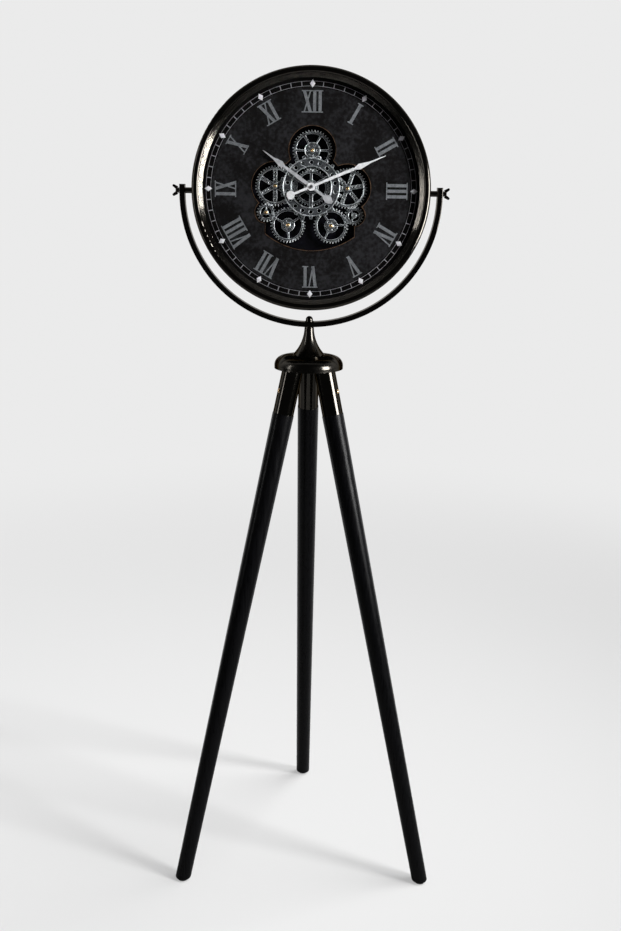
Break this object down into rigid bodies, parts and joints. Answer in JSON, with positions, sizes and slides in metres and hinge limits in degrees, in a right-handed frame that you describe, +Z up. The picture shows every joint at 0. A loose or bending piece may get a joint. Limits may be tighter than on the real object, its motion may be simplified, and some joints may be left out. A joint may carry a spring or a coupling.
{
  "type": "tripod clock",
  "caption": "Floor-standing tripod clock: a round glazed drum with an open wheel train in its dial, tilting in a swivelling yoke on splayed poles.",
  "frame": {"origin": "floor level, under the centre of the clock's bounding box; the swivel axis is 74.5 mm in front", "axes": "+Z up the swivel axis, -Y the way the dial faces, +X to the viewer's right"},
  "size_m": [0.5464, 0.4776, 1.6859],
  "materials": {
    "black_wood": "satin black stain",
    "dark_nickel": "glossy black nickel",
    "dark_casting": "glossy black nickel",
    "steel": "plain steel",
    "brass": "polished",
    "copper": "satin copper brown",
    "rubber": "matt",
    "clear_glass": "clear",
    "dial_black": "worn charcoal print",
    "plate_black": "matt black",
    "black_plastic": "moulded",
    "cell_wrap": "plain wrap",
    "wheel_silver": "pewter silver",
    "hand_grey": "satin grey",
    "hand_white": "satin white"
  },
  "bodies": {
    "stand": {"leg_pole_left": "black_wood", "leg_pole_right": "black_wood", "leg_pole_back": "black_wood", "leg_sleeve_left": "dark_nickel", "leg_sleeve_right": "dark_nickel", "leg_sleeve_back": "dark_nickel", "sleeve_screws": "brass", "foot_pads": "rubber", "tripod_cap": "dark_casting", "flared_column": "dark_casting", "swivel_stud": "steel", "acorn_nut": "dark_nickel"},
    "yoke_arm": {"yoke": "dark_nickel"},
    "head": {"drum_case": "dark_nickel", "back_rim": "dark_nickel", "dial_seat": "dark_nickel", "bezel_ring": "dark_casting", "glass": "clear_glass", "inner_ring": "dark_casting", "dial_plate": "dial_black", "opening_trim": "copper", "mechanism_plate": "plate_black", "plate_pillars": "steel", "pillar_screws": "steel", "wheel_pins": "brass", "centre_bush": "brass", "bush_cap": "steel", "back_cover": "plate_black", "cover_screws": "steel", "movement": "black_plastic", "movement_cell": "cell_wrap", "gear_drive": "black_plastic", "drive_cells": "cell_wrap", "pivot_spacers": "dark_nickel", "pivot_studs": "steel", "pivot_plates": "steel", "pivot_washers": "steel"},
    "left_wing_nut": {"wing_nut_left": "dark_nickel"},
    "right_wing_nut": {"wing_nut_right": "dark_nickel"},
    "minute_work": {"minute_hand": "hand_white", "minute_shaft": "steel", "hand_nut": "hand_white"},
    "hour_work": {"hour_hand": "hand_grey", "hour_tube": "brass"},
    "knob": {"set_knob": "black_plastic"},
    "centre_wheels": {"centre_wheel": "wheel_silver", "ring_wheel": "wheel_silver"},
    "top_wheel_body": {"top_wheel": "wheel_silver"},
    "left_wheel_body": {"left_wheel": "wheel_silver"},
    "right_wheel_body": {"right_wheel": "wheel_silver"},
    "lower_left_small_wheel_body": {"lower_left_small_wheel": "wheel_silver"},
    "lower_left_middle_wheel_body": {"lower_left_middle_wheel": "wheel_silver"},
    "lower_right_small_wheel_body": {"lower_right_small_wheel": "wheel_silver", "drive_shaft": "steel"},
    "lower_right_middle_wheel_body": {"lower_right_middle_wheel": "wheel_silver"}
  },
  "joints": [
    {"name": "yoke_swivel", "type": "hinge", "parent": "stand", "child": "yoke_arm", "pos_m": [0, -0.0745, 1.19], "axis": [0, 0, 1], "continuous": true},
    {"name": "head_tilt", "type": "hinge", "parent": "yoke_arm", "child": "head", "pos_m": [0, -0.0745, 1.451], "axis": [1, 0, 0], "continuous": true},
    {"name": "left_nut_turn", "type": "hinge", "parent": "head", "child": "left_wing_nut", "pos_m": [-0.266, -0.0745, 1.451], "axis": [1, 0, 0], "continuous": true},
    {"name": "right_nut_turn", "type": "hinge", "parent": "head", "child": "right_wing_nut", "pos_m": [0.266, -0.0745, 1.451], "axis": [1, 0, 0], "continuous": true},
    {"name": "minute_turn", "type": "hinge", "parent": "head", "child": "minute_work", "pos_m": [0, -0.11106, 1.46143], "axis": [0, -0.9916, 0.1297], "continuous": true},
    {"name": "hour_turn", "type": "hinge", "parent": "head", "child": "hour_work", "pos_m": [0, -0.10828, 1.46107], "axis": [0, -0.9916, 0.1297], "continuous": true},
    {"name": "knob_turn", "type": "hinge", "parent": "head", "child": "knob", "pos_m": [0, -0.06739, 1.46681], "axis": [0, -0.9916, 0.1297], "continuous": true},
    {"name": "centre_turn", "type": "hinge", "parent": "head", "child": "centre_wheels", "pos_m": [0, -0.09559, 1.45941], "axis": [0, -0.9916, 0.1297], "continuous": true},
    {"name": "top_wheel_turn", "type": "hinge", "parent": "head", "child": "top_wheel_body", "pos_m": [0.00123, -0.08647, 1.5291], "axis": [0, -0.9916, 0.1297], "continuous": true},
    {"name": "left_wheel_turn", "type": "hinge", "parent": "head", "child": "left_wheel_body", "pos_m": [-0.07026, -0.0953, 1.46159], "axis": [0, -0.9916, 0.1297], "continuous": true},
    {"name": "right_wheel_turn", "type": "hinge", "parent": "head", "child": "right_wheel_body", "pos_m": [0.0703, -0.09568, 1.45867], "axis": [0, -0.9916, 0.1297], "continuous": true},
    {"name": "lower_left_small_wheel_turn", "type": "hinge", "parent": "head", "child": "lower_left_small_wheel_body", "pos_m": [-0.08755, -0.10189, 1.41124], "axis": [0, -0.9916, 0.1297], "continuous": true},
    {"name": "lower_left_middle_wheel_turn", "type": "hinge", "parent": "head", "child": "lower_left_middle_wheel_body", "pos_m": [-0.04447, -0.10492, 1.38804], "axis": [0, -0.9916, 0.1297], "continuous": true},
    {"name": "lower_right_small_wheel_turn", "type": "hinge", "parent": "head", "child": "lower_right_small_wheel_body", "pos_m": [0.08445, -0.10239, 1.40736], "axis": [0, -0.9916, 0.1297], "continuous": true},
    {"name": "lower_right_middle_wheel_turn", "type": "hinge", "parent": "head", "child": "lower_right_middle_wheel_body", "pos_m": [0.0397, -0.10499, 1.38751], "axis": [0, -0.9916, 0.1297], "continuous": true}
  ],
  "couplings": [
    {"joint": "hour_turn", "follows": "minute_turn", "ratio": 0.083333},
    {"joint": "knob_turn", "follows": "minute_turn", "ratio": -1},
    {"joint": "top_wheel_turn", "follows": "centre_turn", "ratio": -0.9},
    {"joint": "left_wheel_turn", "follows": "centre_turn", "ratio": -0.9},
    {"joint": "right_wheel_turn", "follows": "centre_turn", "ratio": -0.9},
    {"joint": "lower_left_small_wheel_turn", "follows": "centre_turn", "ratio": 2},
    {"joint": "lower_left_middle_wheel_turn", "follows": "centre_turn", "ratio": -1.0286},
    {"joint": "lower_right_small_wheel_turn", "follows": "centre_turn", "ratio": 2},
    {"joint": "lower_right_middle_wheel_turn", "follows": "centre_turn", "ratio": -1.0286}
  ]
}
